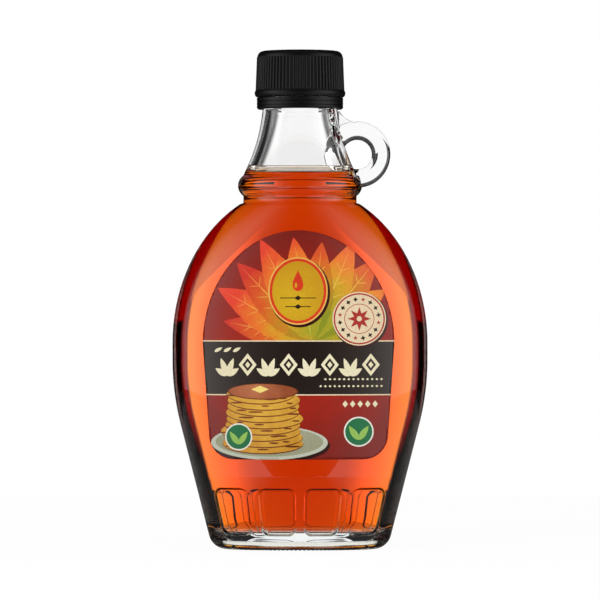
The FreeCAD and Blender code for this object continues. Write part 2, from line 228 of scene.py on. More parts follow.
FLOOR_IN_GLOSS = (0.03, 1.1)    # in the bottle's gloss: in front of it and behind it, and out at its sides
FLOOR_GLOSS_X = (45 * MM, 120 * MM)
FLOOR_GLOSS_Y = (0 * MM, -30 * MM)
FLAG_Y = 200 * MM
FLAG_NEAR_X = 45 * MM
FLAG_FAR_X = 600 * MM
FLAG_SPAN_Z = (115 * MM, 146 * MM)

# Lamps and camera
LAMP_AIM = (0, 0, 0.08)
LAMP_SIZE = 0.5
CAMERA_DISTANCE = 1.8
CAMERA_HEIGHT = 87 * MM
FRAME_WIDTH = 0.21
SENSOR_WIDTH = 36.0
MOST_BOUNCES = 24


def srgb(red, green, blue):
    """A colour given as it looks on screen, 0 to 255, as the linear colour that Blender takes."""
    linear = []
    for channel in (red, green, blue):
        c = channel / 255
        linear.append(c / 12.92 if c <= 0.04045 else ((c + 0.055) / 1.055) ** 2.4)
    return (*linear, 1.0)


# ---------------------------------------------------------------- outline of the flask

def half_width(z):
    """Half of the body's width at a height: a straight flank, an arc, and an elliptical shoulder."""
    rise = BELLY_LOW_Z - FLANK_TOP_Z
    run = FLANK_TOP_Z - FLANK_FOOT_Z
    gain = BODY_HALF_WIDTH - FLANK_FOOT_HALF_WIDTH
    slope = gain / (run + rise / 2)
    for _ in range(8):
        tilt = math.atan(slope)
        radius = rise / math.sin(tilt)
        slope = (gain - radius * (1 - math.cos(tilt))) / run
    if z <= FLANK_TOP_Z:
        return FLANK_FOOT_HALF_WIDTH + slope * (z - FLANK_FOOT_Z)
    if z <= BELLY_LOW_Z:
        return BODY_HALF_WIDTH - radius + math.sqrt(radius ** 2 - (BELLY_LOW_Z - z) ** 2)
    if z <= BELLY_HIGH_Z:
        return BODY_HALF_WIDTH
    height = (z - BELLY_HIGH_Z) / SHOULDER_HEIGHT
    return max(BODY_HALF_WIDTH * math.sqrt(max(0.0, 1 - height ** 2)), NECK_ROOT_RADIUS)


def half_depth(z):
    """Half of the body's depth at a height: a tapered foot, an even body, and an ease to the neck."""
    if z < CREASE_Z:
        return BODY_HALF_DEPTH - FOOT_HALF_DEPTH_LOSS * (CREASE_Z - z) / CREASE_Z
    if z <= DEPTH_TAPER_Z:
        return BODY_HALF_DEPTH
    share = (z - DEPTH_TAPER_Z) / (NECK_ROOT_Z - DEPTH_TAPER_Z)
    return BODY_HALF_DEPTH + (NECK_ROOT_RADIUS - BODY_HALF_DEPTH) * share ** 2


def steps(low, high, size):
    """Heights from low to high, evenly spaced about a size apart, with both ends."""
    count = max(1, round(abs(high - low) / size))
    return [low + (high - low) * i / count for i in range(count + 1)]


def circle_centre(first, middle, last):
    """The centre of the circle through three points."""
    (ax, ay), (bx, by), (cx, cy) = first, middle, last
    a = ax ** 2 + ay ** 2
    b = bx ** 2 + by ** 2
    c = cx ** 2 + cy ** 2
    d = 2 * (ax * (by - cy) + bx * (cy - ay) + cx * (ay - by))
    x = (a * (by - cy) + b * (cy - ay) + c * (ay - by)) / d
    y = (a * (cx - bx) + b * (ax - cx) + c * (bx - ax)) / d
    return x, y


def arc_through(first, middle, last, count):
    """Points on the circle through three points, from the first to the last."""
    x, y = circle_centre(first, middle, last)
    radius = math.hypot(first[0] - x, first[1] - y)
    start, mid, end = (math.atan2(point[1] - y, point[0] - x) for point in (first, middle, last))
    turn = (end - start) % (2 * math.pi)
    if (mid - start) % (2 * math.pi) > turn:
        turn -= 2 * math.pi
    angles = [start + turn * i / count for i in range(count + 1)]
    return [(x + radius * math.cos(angle), y + radius * math.sin(angle)) for angle in angles]


def panel_share(u, z):
    """How far a spot of the foot is pressed in, 0 outside the arched panels and 1 inside them."""
    best = 0.0
    for left, right in PANEL_SPANS:
        dx = max(left - u, u - right) * half_width(z) + PANEL_CORNER
        dz = max(PANEL_LOW_Z - z, z - PANEL_HIGH_Z) + PANEL_CORNER
        outside = math.hypot(max(dx, 0.0), max(dz, 0.0)) + min(max(dx, dz), 0.0) - PANEL_CORNER
        t = min(max(0.5 - outside / PANEL_EDGE, 0.0), 1.0)
        best = max(best, t * t * (3 - 2 * t))
    return best


# ---------------------------------------------------------------- meshes of rings

def ring_angles():
    """Where the points of every ring lie: evenly spaced, and closer at the edges of the arched panels."""
    angles = [2 * math.pi * i / AROUND_EVEN for i in range(AROUND_EVEN)]
    for left, right in PANEL_SPANS:
        for edge, inward in ((left, 1), (right, -1)):
            for offset in EDGE_OFFSETS + tuple(inward * distance for distance in CORNER_OFFSETS):
                turn = math.acos(edge + offset * MM / FLANK_FOOT_HALF_WIDTH)
                angles += [turn, 2 * math.pi - turn]
    angles.sort()
    return np.array(angles)


def ring(a, b, z):
    """A ring of points: half-width a, half-depth b, at height z."""
    return np.stack([a * np.cos(ANGLES), b * np.sin(ANGLES), np.full(AROUND, z)], axis=1)


def notched(points):
    """The lowest rings of the heel with shallow notches, so that the bottle stands on a row of teeth."""
    wave = 0.5 - 0.5 * np.cos(ANGLES * KNURL_COUNT)
    fade = np.clip(1 - points[:, 2] / MM, 0.0, 1.0)
    points = points.copy()
    points[:, 2] += KNURL_DEPTH * wave * fade
    return points


def add_object(name, mesh):
    """An object for a mesh, in the scene."""
    obj = bpy.data.objects.new(name, mesh)
    bpy.context.scene.collection.objects.link(obj)
    return obj


def skin(name, rings):
    """A closed mesh from rings in order, with a point at its start and at its end."""
    count = len(rings)
    points = np.concatenate([*rings, rings[0].mean(axis=0)[None], rings[-1].mean(axis=0)[None]])
    faces = []
    for low in range(0, (count - 1) * AROUND, AROUND):
        high = low + AROUND
        for i in range(AROUND):
            j = (i + 1) % AROUND
            faces.append((low + i, low + j, high + j, high + i))
    start = count * AROUND
    last = start - AROUND
    for i in range(AROUND):
        j = (i + 1) % AROUND
        faces.append((start, j, i))
        faces.append((start + 1, last + i, last + j))
    mesh = bpy.data.meshes.new(name)
    mesh.from_pydata(points.tolist(), [], faces)
    mesh.validate()
    for polygon in mesh.polygons:
        polygon.use_smooth = True
    return add_object(name, mesh)


def press_panels(points, depth):
    """Moves a ring of the foot inwards where the arched panels are, square to the oval."""
    z = points[0, 2]
    a = points[:, 0].max()
    b = points[:, 1].max()
    pressed = points.copy()
    for i, (x, y, _) in enumerate(points):
        share = panel_share(x / a, z)
        if share > 0:
            normal = np.array([x / a ** 2, y / b ** 2, 0.0])
            pressed[i] -= depth * share * normal / np.linalg.norm(normal)
    return pressed


def body_rings(inset, low, panel_depth):
    """Rings of the body from a height up to the neck's root, moved inwards by an inset."""
    heights = steps(low, CREASE_Z, FOOT_STEP)
    heights.append(CREASE_Z + FOOT_STEP)
    heights += steps(CREASE_Z + 2 * MM, SHOULDER_Z, BODY_STEP)
    heights += steps(SHOULDER_Z + SHOULDER_STEP, NECK_ROOT_Z, SHOULDER_STEP)
    rings = []
    for z in heights:
        points = ring(half_width(z) - inset, half_depth(z) - inset, z)
        rings.append(press_panels(points, panel_depth) if z < CREASE_Z else points)
    return rings


def heel_rings(bottom, radius, inset, count):
    """Rings round the heel, from its flat bottom to its side."""
    rings = []
    for step in range(count):
        angle = math.pi / 2 * step / count
        z = bottom + radius * (1 - math.cos(angle))
        back = inset + radius * (1 - math.sin(angle))
        rings.append(ring(half_width(z) - back, half_depth(z) - back, z))
    return rings


def base_rings():
    """The underside: the push-up, and the slope down to the ring that the bottle stands on."""
    rings = []
    half_x, half_y = PUSH_UP
    slope = 2 * PUSH_UP_DEPTH
    for share in (0.15, 0.4, 0.65, 0.85, 1.0):
        rings.append(ring((half_x - slope) * share, (half_y - slope) * share, PUSH_UP_DEPTH))
    for share in (0.75, 0.5, 0.25):
        spread = slope * share
        rings.append(ring(half_x - spread, half_y - spread, PUSH_UP_DEPTH * share))
    return rings


def cone_points(thickness, top_radius):
    """The neck's hollow-sided cone, moved inwards by a thickness, with its own radius at the top."""
    foot = (CONE_FOOT[0] - thickness, CONE_FOOT[1])
    middle = (CONE_MIDDLE[0] - thickness, CONE_MIDDLE[1])
    return arc_through(foot, middle, (top_radius, CONE_TOP[1]), 22)


def neck_points_outside():
    """(radius, z) down the outside of the neck, from the groove to the lip."""
    bead_low = (NECK_GROOVE_RADIUS, BEAD_Z - BEAD_HALF_HEIGHT)
    bead_high = (NECK_GROOVE_RADIUS, BEAD_Z + BEAD_HALF_HEIGHT)
    points = [(NECK_GROOVE_RADIUS, NECK_ROOT_Z + 0.3 * MM), (NECK_GROOVE_RADIUS, NECK_ROOT_Z + 1.5 * MM)]
    points += arc_through(bead_low, (BEAD_RADIUS, BEAD_Z), bead_high, 14)
    points += cone_points(0.0, CONE_TOP[0])
    points.append((FINISH_RADIUS, CONE_TOP[1] + 1.0 * MM))
    points += [(FINISH_RADIUS, z) for z in steps(CONE_TOP[1] + 2 * MM, LIP_Z - 1.2 * MM, 0.6 * MM)]
    points += [(FINISH_RADIUS - 0.35 * MM, LIP_Z - 0.35 * MM), (FINISH_RADIUS - 1.2 * MM, LIP_Z)]
    return points


def neck_points_inside():
    """(radius, z) down the inside of the neck, from its root to the lip."""
    root = NECK_ROOT_RADIUS - NECK_WALL
    points = [(root, z) for z in steps(NECK_ROOT_Z - 0.5 * MM, BEAD_Z, 1.0 * MM)]
    points += cone_points(NECK_WALL, BORE_RADIUS)
    points += [(BORE_RADIUS, z) for z in steps(CONE_TOP[1] + 2 * MM, LIP_Z - 1.0 * MM, 2.0 * MM)]
    points += [(BORE_RADIUS + 0.3 * MM, LIP_Z - 0.3 * MM), (BORE_RADIUS + 1.0 * MM, LIP_Z)]
    return points


def neck_radius_inside(z):
    """The radius of the neck's inside at a height."""
    points = neck_points_inside()
    return float(np.interp(z, [p[1] for p in points[:-2]], [p[0] for p in points[:-2]]))


def ripple(points):
    """The slight unevenness of a pressed wall, which bends what shows through the glass."""
    moved = points.copy()
    for i, point in enumerate(points):
        moved[i, :2] *= 1 + RIPPLE_SHARE * noise.noise(Vector(point) * RIPPLE_SCALE)
    return moved


def inside_rings(reach):
    """The wall inside the glass from the middle of its floor to the neck's root; reach moves it outwards."""
    inset = WALL - reach
    bottom = FLOOR_Z - reach
    depth = PANEL_INSIDE * PANEL_DEPTH
    flat_a = half_width(bottom) - inset - FLOOR_RADIUS
    flat_b = half_depth(bottom) - inset - FLOOR_RADIUS
    rings = [ring(flat_a * share, flat_b * share, bottom) for share in (0.15, 0.4, 0.65, 0.85)]
    rings += [press_panels(points, depth) for points in heel_rings(bottom, FLOOR_RADIUS, inset, 10)]
    rings += body_rings(inset, bottom + FLOOR_RADIUS, depth)[:-1]
    return rings


# ---------------------------------------------------------------- glass, handle and syrup

def handle_section():
    """The ring's section, as (radius, y): a rectangle with round corners."""
    section = []
    for sign_r, sign_y in ((1, -1), (1, 1), (-1, 1), (-1, -1)):
        middle_r = (HANDLE_OUTER - HANDLE_EDGE) if sign_r > 0 else (HANDLE_HOLE + HANDLE_EDGE)
        middle_y = sign_y * (HANDLE_THICKNESS / 2 - HANDLE_EDGE)
        start = math.atan2(sign_y, sign_r) - math.pi / 4
        for i in range(HANDLE_CORNER_STEPS + 1):
            angle = start + math.pi / 2 * i / HANDLE_CORNER_STEPS
            radius = middle_r + HANDLE_EDGE * math.cos(angle)
            section.append((radius, middle_y + HANDLE_EDGE * math.sin(angle)))
    return section


def handle_ring():
    """The ring of the handle: its section, turned round its centre."""
    cx, cz = HANDLE_CENTRE
    section = handle_section()
    n = len(section)
    points = []
    faces = []
    for turn in range(HANDLE_STEPS):
        angle = 2 * math.pi * turn / HANDLE_STEPS
        points += [(cx + r * math.cos(angle), y, cz + r * math.sin(angle)) for r, y in section]
        here = turn * n
        after = (turn + 1) % HANDLE_STEPS * n
        for i in range(n):
            j = (i + 1) % n
            faces.append((here + i, here + j, after + j, after + i))
    mesh = bpy.data.meshes.new("handle_ring")
    mesh.from_pydata(points, [], faces)
    return add_object("handle_ring", mesh)


def web_outline():
    """The web as (x, z): a curve from its root at the neck to the ring's top, closed inside the glass."""
    cx, cz = HANDLE_CENTRE
    root_x, root_z = HANDLE_ROOT
    top = cz + HANDLE_OUTER
    bend = (root_x + (cx - root_x) * HANDLE_BEND_RUN, top + (root_z - top) * HANDLE_BEND_RISE)
    curve = arc_through(HANDLE_ROOT, bend, (cx, top - 0.02 * MM), 14)
    behind = root_x - WEB_BEHIND
    return [(behind, root_z)] + curve + [(cx, top - WEB_BELOW), (behind, cz + HANDLE_HOLE + 1 * MM)]


def handle_web():
    """The web that joins the ring's top to the neck, with its long edges rounded."""
    outline = web_outline()
    depth = HANDLE_THICKNESS / 2 - 0.35 * HANDLE_EDGE
    web = bmesh.new()
    front = [web.verts.new((x, -depth, z)) for x, z in outline]
    back = [web.verts.new((x, depth, z)) for x, z in outline]
    web.faces.new(front)
    web.faces.new(list(reversed(back)))
    for i in range(len(outline)):
        j = (i + 1) % len(outline)
        web.faces.new((front[i], back[i], back[j], front[j]))
    bmesh.ops.recalc_face_normals(web, faces=web.faces)
    rim = [edge for edge in web.edges if edge.verts[0].co.y * edge.verts[1].co.y > 0]
    bmesh.ops.bevel(web, geom=rim, offset=WEB_EDGE, segments=5, profile=0.5, affect="EDGES",
                    clamp_overlap=True)
    mesh = bpy.data.meshes.new("handle_web")
    web.to_mesh(mesh)
    web.free()
    return add_object("handle_web", mesh)


def join_solid(base, extra):
    """Adds closed pieces to a closed mesh, so that no wall is left inside."""
    for piece in extra:
        modifier = base.modifiers.new("union", "BOOLEAN")
        modifier.operation = "UNION"
        modifier.solver = "EXACT"
        modifier.object = piece
    graph = bpy.context.evaluated_depsgraph_get()
    mesh = bpy.data.meshes.new_from_object(base.evaluated_get(graph))
    base.modifiers.clear()
    base.data = mesh
    for piece in extra:
        bpy.data.objects.remove(piece)


def build_glass():
    """The bottle: outside from the push-up to the lip, then inside from the lip down to the floor."""
    outside = base_rings()
    outside += [notched(points) for points in heel_rings(0.0, HEEL_RADIUS, 0.0, 12)]
    outside += body_rings(0.0, HEEL_RADIUS, PANEL_DEPTH)
    outside += [ring(r, r, z) for r, z in neck_points_outside()]
    inside = [ripple(points) for points in inside_rings(0.0)]
    inside += [ring(r, r, z) for r, z in neck_points_inside()]
    glass = skin("glass_flask", outside + inside[::-1])
    join_solid(glass, [handle_ring(), handle_web()])
    for polygon in glass.data.polygons:
        polygon.use_smooth = True
        polygon.material_index = 0
    return glass


def build_syrup():
    """The syrup: it fills the flask, reaches a little into the glass, and climbs the wall at its edge."""
    rings = [ripple(points) for points in inside_rings(SYRUP_REACH)]
    wall = [(r, z) for r, z in neck_points_inside() if z < LEVEL_Z]
    heights = steps(LEVEL_Z, LEVEL_Z + MENISCUS, 0.25 * MM)
    wall += [(neck_radius_inside(z), z) for z in heights]
    rings += [ring(r + SYRUP_REACH, r + SYRUP_REACH, z) for r, z in wall]
    for z in reversed(heights):
        climb = (z - LEVEL_Z) / MENISCUS
        film = FILM * math.sqrt(max(0.0, 1 - climb)) + MENISCUS_WIDTH * math.exp(-climb * MENISCUS_FALL)
        radius = neck_radius_inside(z) - film
        rings.append(ring(radius, radius, z))
    for share in (0.7, 0.4, 0.15):
        flat = (neck_radius_inside(LEVEL_Z) - FILM - MENISCUS_WIDTH) * share
        rings.append(ring(flat, flat, LEVEL_Z))
    return skin("syrup_fill", rings)


# ---------------------------------------------------------------- the label's print, drawn flat as (x, z)

def spot(x, z):
    """A place on the label, given in mm."""
    return (x * MM, z * MM)


def oval_shape(centre, half_x, half_z, count=56):
    """An upright oval; its half-sizes are in mm."""
    angles = [2 * math.pi * i / count for i in range(count)]
    x, z = centre
    return [(x + half_x * MM * math.cos(angle), z + half_z * MM * math.sin(angle)) for angle in angles]


def box_shape(left, low, right, high):
    """An upright rectangle."""
    return [(left, low), (right, low), (right, high), (left, high)]


def lozenge(centre, half_x, half_z):
    """A lozenge; its half-sizes are in mm."""
    x, z = centre
    dx = half_x * MM
    dz = half_z * MM
    return [(x - dx, z), (x, z - dz), (x + dx, z), (x, z + dz)]


def star_shape(centre, outer, inner, points, turn=0.0):
    """A star or a flower of pointed petals; its radii are in mm."""
    shape = []
    for i in range(2 * points):
        radius = (inner if i % 2 else outer) * MM
        angle = turn + math.pi * i / points
        shape.append((centre[0] + radius * math.sin(angle), centre[1] + radius * math.cos(angle)))
    return shape


def leaf_shape(root, length, width, lean, teeth=0):
    """A pointed leaf, in mm, that grows from its root and leans by degrees; teeth notch its edge."""
    count = max(14, 4 * teeth)
    side = []
    for i in range(count + 1):
        along = i / count
        half = 0.5 * width * math.sin(math.pi * along ** 0.8) ** 0.85
        if teeth:
            half *= 1 + 0.16 * (((along * teeth) % 1.0) - 0.5) * (1 - along)
        side.append((half * MM, along * length * MM))
    outline = side + [(-half, along) for half, along in reversed(side[1:-1])]
    c = math.cos(math.radians(lean))
    s = math.sin(math.radians(lean))
    return [(root[0] + u * c + v * s, root[1] - u * s + v * c) for u, v in outline]


def label_shape():
    """The label's own outline: half an ellipse above, and a tapered foot with round corners."""
    shape = []
    for i in range(121):
        angle = math.pi * i / 120
        z = LABEL_DOME_Z + (LABEL_HIGH_Z - LABEL_DOME_Z) * math.sin(angle)
        shape.append((LABEL_X + LABEL_HALF_WIDTH * math.cos(angle), z))
    for side in (-1, 1):
        corner = []
        for i in range(13):
            angle = math.pi / 2 * i / 12
            x = LABEL_FOOT_HALF_WIDTH - LABEL_CORNER * (1 - math.cos(angle))
            corner.append((LABEL_X + side * x, LABEL_LOW_Z + LABEL_CORNER * (1 - math.sin(angle))))
        shape += corner if side < 0 else corner[::-1]
    return shape


def autumn_leaves():
    """A fan of leaves from behind the plaque, with the ribs that show on them."""
    shapes = []
    for number, (lean, length, width) in enumerate(LEAF_SPRAY):
        colour = "leaf" if number % 2 else "leaf_deep"
        shapes.append((colour, leaf_shape(LEAF_ROOT, length, width, lean, LEAF_TEETH)))
        shapes.append(("leaf_rib", leaf_shape(LEAF_ROOT, 0.94 * length, RIB_WIDTH, lean)))
        angle = math.radians(lean)
        for share in SIDE_RIB_PLACES:
            along = share * length * MM
            start = (LEAF_ROOT[0] + along * math.sin(angle), LEAF_ROOT[1] + along * math.cos(angle))
            reach = 0.46 * width * (1.15 - share) / 0.75
            for side in (-1, 1):
                rib = leaf_shape(start, reach, SIDE_RIB_WIDTH, lean + side * SIDE_RIB_LEAN)
                shapes.append(("leaf_rib", rib))
    return shapes


def drop_shape(x, z):
    """A drop with its tip at the top."""
    drop = []
    for i in range(40):
        angle = 2 * math.pi * i / 40
        half = DROP_HALF_WIDTH * MM * math.sin(angle) * math.sin(angle / 2) ** 1.4
        drop.append((x + half, z + DROP_HALF_HEIGHT * MM * math.cos(angle)))
    return drop


def plaque():
    """An upright oval plaque with a rim, and a drop on it."""
    x, z = PLAQUE
    shapes = [("shade", oval_shape((x + 0.5 * MM, z - 0.6 * MM), 10.6, 12.0))]
    shapes += [(colour, oval_shape(PLAQUE, half_x, half_z)) for colour, half_x, half_z in PLAQUE_FIELDS]
    shapes.append(("red", drop_shape(x, z + 3.6 * MM)))
    shapes.append(("yellow", oval_shape((x - 0.7 * MM, z + 2.0 * MM), 0.45, 0.9, 20)))
    for row, half in PLAQUE_LINES:
        line = box_shape(x - half * MM, z + (row - 0.16) * MM, x + half * MM, z + (row + 0.16) * MM)
        shapes.append(("ink", line))
        shapes.append(("ink", lozenge((x, z + row * MM), 1.3, 0.85)))
    return shapes


def seal():
    """A round pale seal with two rings and a flower."""
    x, z = SEAL
    shapes = [("shade", oval_shape((x + 0.4 * MM, z - 0.5 * MM), 9.6, 9.6))]
    for colour, share in SEAL_FIELDS:
        shapes.append((colour, oval_shape(SEAL, SEAL_RADIUS * share, SEAL_RADIUS * share)))
    shapes.append(("red_dull", star_shape(SEAL, 4.1, 2.0, 8)))
    shapes.append(("cream", oval_shape(SEAL, 0.9, 0.9, 20)))
    for i in range(SEAL_MARKS):
        angle = 2 * math.pi * (i + 0.5) / SEAL_MARKS
        out = SEAL_MARK_RADIUS * MM
        middle = (x + out * math.sin(angle), z + out * math.cos(angle))
        if i % 4:
            shapes.append(("ink", star_shape(middle, 0.95, 0.45, 4, angle)))
        else:
            shapes.append(("red_dull", star_shape(middle, 0.8, 0.35, 5)))
    return shapes


def ornaments():
    """A row of lozenges and sprigs along the dark band."""
    shapes = []
    for i in range(ORNAMENT_COUNT):
        x = ORNAMENT_X + ORNAMENT_PITCH * i
        if i % 2:
            for colour, half_x, half_z in ORNAMENT_LOZENGES:
                shapes.append((colour, lozenge(spot(x, ORNAMENT_Z), half_x, half_z)))
        else:
            for lean in ORNAMENT_LEANS:
                leaf = leaf_shape(spot(x, ORNAMENT_Z - 3.8), 7.4 - abs(lean) / 22, 2.1, lean)
                shapes.append(("ivory", leaf))
    return shapes


def dark_band():
    """The dark band with a pale line at each edge, ornaments, three small leaves and rows of dots."""
    shapes = [("cream", box_shape(-BAND_SIDE, BAND_LOW_Z - BAND_LINE, BAND_SIDE, BAND_LOW_Z)),
              ("cream", box_shape(-BAND_SIDE, BAND_HIGH_Z, BAND_SIDE, BAND_HIGH_Z + BAND_LINE)),
              ("dark", box_shape(-BAND_SIDE, BAND_LOW_Z, BAND_SIDE, BAND_HIGH_Z))]
    shapes += ornaments()
    shapes += [("ivory", leaf_shape(spot(-29.6 + 3.2 * i, 69.1), 3.1, 1.15, 62)) for i in range(3)]
    for z, count in DOT_ROWS:
        shapes += [("ivory", lozenge(spot(DOT_X - DOT_PITCH * i, z), 0.5, 0.42)) for i in range(count)]
    return shapes


def flat_cake(number):
    """One cake of the stack, with its edge and three streaks; each is a little off the one below."""
    half = 14.0 - 0.24 * number + 0.35 * math.sin(3.7 * number)
    x = STACK_X + 0.55 * math.sin(2.1 * number) + 0.3 * math.sin(5.3 * number)
    z = STACK_LOW_Z + STACK_PITCH * number
    shapes = [("crust", oval_shape(spot(x, z), half, 3.6)),
              ("cake", oval_shape(spot(x, z + 0.15), half - 0.1, 3.35))]
    for i in range(3):
        shift = 0.85 * math.sin(2.4 * number + 2.1 * i)
        place = spot(x + half * shift, z - 3.3 * math.sqrt(1 - shift ** 2) + 1.35)
        shapes.append(("crust", oval_shape(place, 2.0 + 0.9 * math.sin(4 * number + i), 0.3, 20)))
    return shapes


def golden_stack():
    """A pile of flat round cakes on a round plate, with a square of butter."""
    shapes = []
    for colour, x, z, half_x, half_z in PLATE_FIELDS:
        shapes.append((colour, oval_shape(spot(x, z), half_x, half_z)))
    for number in range(STACK_LAYERS):
        shapes += flat_cake(number)
    top_z = STACK_LOW_Z + STACK_PITCH * (STACK_LAYERS - 1)
    shapes.append(("crust", oval_shape(spot(STACK_X, top_z + 0.9), 12.2, 2.8)))
    shapes.append(("glaze", oval_shape(spot(STACK_X, top_z + 1.0), 11.6, 2.5)))
    shapes.append(("butter", lozenge(spot(STACK_X - 1.0, top_z + 1.7), 3.0, 1.3)))
    return shapes


def small_marks():
    """Two green marks, and a short row of lozenges above the right one."""
    shapes = []
    for x, z, size in GREEN_MARKS:
        shapes.append(("white", oval_shape(spot(x, z), size, size)))
        shapes.append(("green", oval_shape(spot(x, z), 0.9 * size, 0.9 * size)))
        for lean in (-35, 35):
            leaf = leaf_shape(spot(x, z - 0.55 * size), 1.15 * size, 0.42 * size, lean)
            shapes.append(("lime", leaf))
    shapes += [("ivory", lozenge(spot(15.6 + 2.6 * i, 51.0), 0.95, 1.2)) for i in range(5)]
    return shapes


def print_shapes():
    """Everything printed, from the ground up: (colour, outline) pairs."""
    # the ground: red print, with painted shade and sheen towards its rim
    shapes = [("ground", label_shape())]
    for draw in (autumn_leaves, dark_band, plaque, seal, golden_stack, small_marks):
        shapes += draw()
    return shapes


def turn_of(outline):
    """Twice the area inside an outline, positive if it runs anticlockwise."""
    return sum(p[0] * q[1] - q[0] * p[1] for p, q in zip(outline, outline[1:] + outline[:1]))


def finely_cut(outline):
    """The same outline with its long sides cut short, so that they follow the round of the body."""
    fine = []
    for p, q in zip(outline, outline[1:] + outline[:1]):
        count = max(1, math.ceil(math.dist(p, q) / PRINT_GRID))
        fine += [(p[0] + (q[0] - p[0]) * i / count, p[1] + (q[1] - p[1]) * i / count) for i in range(count)]
    return fine


def on_body(x, z, out):
    """A flat (x, z) spot laid on the front of the body, and moved outwards."""
    a = half_width(z)
    b = half_depth(z)
    y = -b * math.sqrt(max(0.0, 1 - (x / a) ** 2))
    normal = Vector((x / a ** 2, y / b ** 2, 0.0)).normalized()
    return Vector((x, y, z)) + out * normal


def fields(shapes):
    """The label's flat triangles: their corners in metres, and each triangle with its topmost shape."""
    flat = []
    loops = []
    for _, outline in shapes:
        outline = finely_cut(outline)
        corners = list(range(len(flat), len(flat) + len(outline)))
        loops.append(corners if turn_of(outline) > 0 else corners[::-1])
        flat += [Vector((x / MM, z / MM)) for x, z in outline]
    for x in steps(LABEL_X - LABEL_HALF_WIDTH, LABEL_X + LABEL_HALF_WIDTH, PRINT_GRID):
        flat += [Vector((x / MM, z / MM)) for z in steps(LABEL_LOW_Z, LABEL_HIGH_Z, PRINT_GRID)]
    result = geometry.delaunay_2d_cdt(flat, [], loops, 1, 1e-5, True)
    spots = [(point.x * MM, point.y * MM) for point in result[0]]
    return spots, [(face, max(owners)) for face, owners in zip(result[2], result[5]) if 0 in owners]


def shell_faces(shapes, kept, count):
    """The faces of the print's front, back and edge, with the colour of each; the back follows the front."""
    faces = []
    colours = []
    edges = {}
    for face, owner in kept:
        faces += [tuple(face), tuple(i + count for i in reversed(face))]
        colours += [shapes[owner][0], "paper_back"]
        for p, q in zip(face, face[1:] + face[:1]):
            edges[(p, q)] = True
    for p, q in edges:
        if (q, p) not in edges:
            faces.append((q, p, p + count, q + count))
            colours.append("ground")
    return faces, colours


def drop_loose_points(mesh):
    """Takes out the points that no face uses."""
    cleaned = bmesh.new()
    cleaned.from_mesh(mesh)
    loose = [point for point in cleaned.verts if not point.link_faces]
    bmesh.ops.delete(cleaned, geom=loose, context="VERTS")
    cleaned.to_mesh(mesh)
    cleaned.free()


def build_label():
    """The print as a thin closed skin: one field of colour per triangle, and a plain back and edge."""
    shapes = print_shapes()
    spots, kept = fields(shapes)
    points = [tuple(on_body(x, z, out)) for out in (PRINT_OUT, -PRINT_IN) for x, z in spots]
    faces, colours = shell_faces(shapes, kept, len(spots))
    names = list(dict.fromkeys(colours))
    mesh = bpy.data.meshes.new("front_print")
    mesh.from_pydata(points, [], faces)
    for polygon, colour in zip(mesh.polygons, colours):
        polygon.material_index = names.index(colour)
        polygon.use_smooth = abs(polygon.normal.y) > 0.2
    drop_loose_points(mesh)
    for name in names:
        stops, run = INKS[name]
        mesh.materials.append(printed(name, stops, **run))
    return add_object("front_print", mesh)


# ---------------------------------------------------------------- materials

def node(tree, kind, inputs=(), **settings):
    """A new shader node with its settings; inputs are (input, value or socket) pairs."""
    new = tree.nodes.new("ShaderNode" + kind)
    for name, value in settings.items():
        setattr(new, name, value)
    for name, value in inputs:
        if isinstance(value, bpy.types.NodeSocket):
            tree.links.new(value, new.inputs[name])
        else:
            new.inputs[name].default_value = value
    return new


def calculate(tree, operation, *values):
    """The result of a Math node."""
    return node(tree, "Math", enumerate(values), operation=operation).outputs[0]


def ramp_between(tree, value, given, wanted):
    """A value mapped from one pair of numbers to another, and held at the ends."""
    inputs = (("Value", value), ("From Min", given[0]), ("From Max", given[1]), ("To Min", wanted[0]),
              ("To Max", wanted[1]))
    return node(tree, "MapRange", inputs).outputs["Result"]


def pick(tree, factor, without, with_it):
    """One of two levels: the second where the factor is 1."""
    return node(tree, "Mix", ((0, factor), (2, without), (3, with_it)), data_type="FLOAT").outputs[0]


def speckle(tree, place, scale, detail):
    """A noise texture, from 0 to 1."""
    return node(tree, "TexNoise", (("Vector", place), ("Scale", scale), ("Detail", detail))).outputs["Fac"]


def colour_ramp(tree, value, stops):
    """A colour that runs through (place, colour) stops."""
    ramp = node(tree, "ValToRGB", ((0, value),))
    elements = ramp.color_ramp.elements
    for number, (place, colour) in enumerate(stops):
        element = elements[number] if number < 2 else elements.new(place)
        element.position = place
        element.color = colour
    return ramp.outputs[0]


def principled(name, **values):
    """A material whose Principled shader has the given sockets set."""
    material = bpy.data.materials.new(name)
    material.use_nodes = True
    shader = material.node_tree.nodes["Principled BSDF"]
    for socket, value in values.items():
        shader.inputs[socket.replace("_", " ")].default_value = value
    return material, shader


def clear_material(name, ior, reflecting, absorbed=None, density=0.0):
    """Smooth clear stuff. A surface that another clear stuff wets has no reflection face on."""
    tint = 1.0 if reflecting else 0.0
    material, _ = principled(name, Base_Color=(1, 1, 1, 1), Roughness=0.0, IOR=ior, Transmission_Weight=1.0,
                             Specular_Tint=(tint, tint, tint, 1))
    if absorbed:
        tree = material.node_tree
        absorption = node(tree, "VolumeAbsorption", (("Color", absorbed), ("Density", density)))
        tree.links.new(absorption.outputs[0], tree.nodes["Material Output"].inputs["Volume"])
    return material


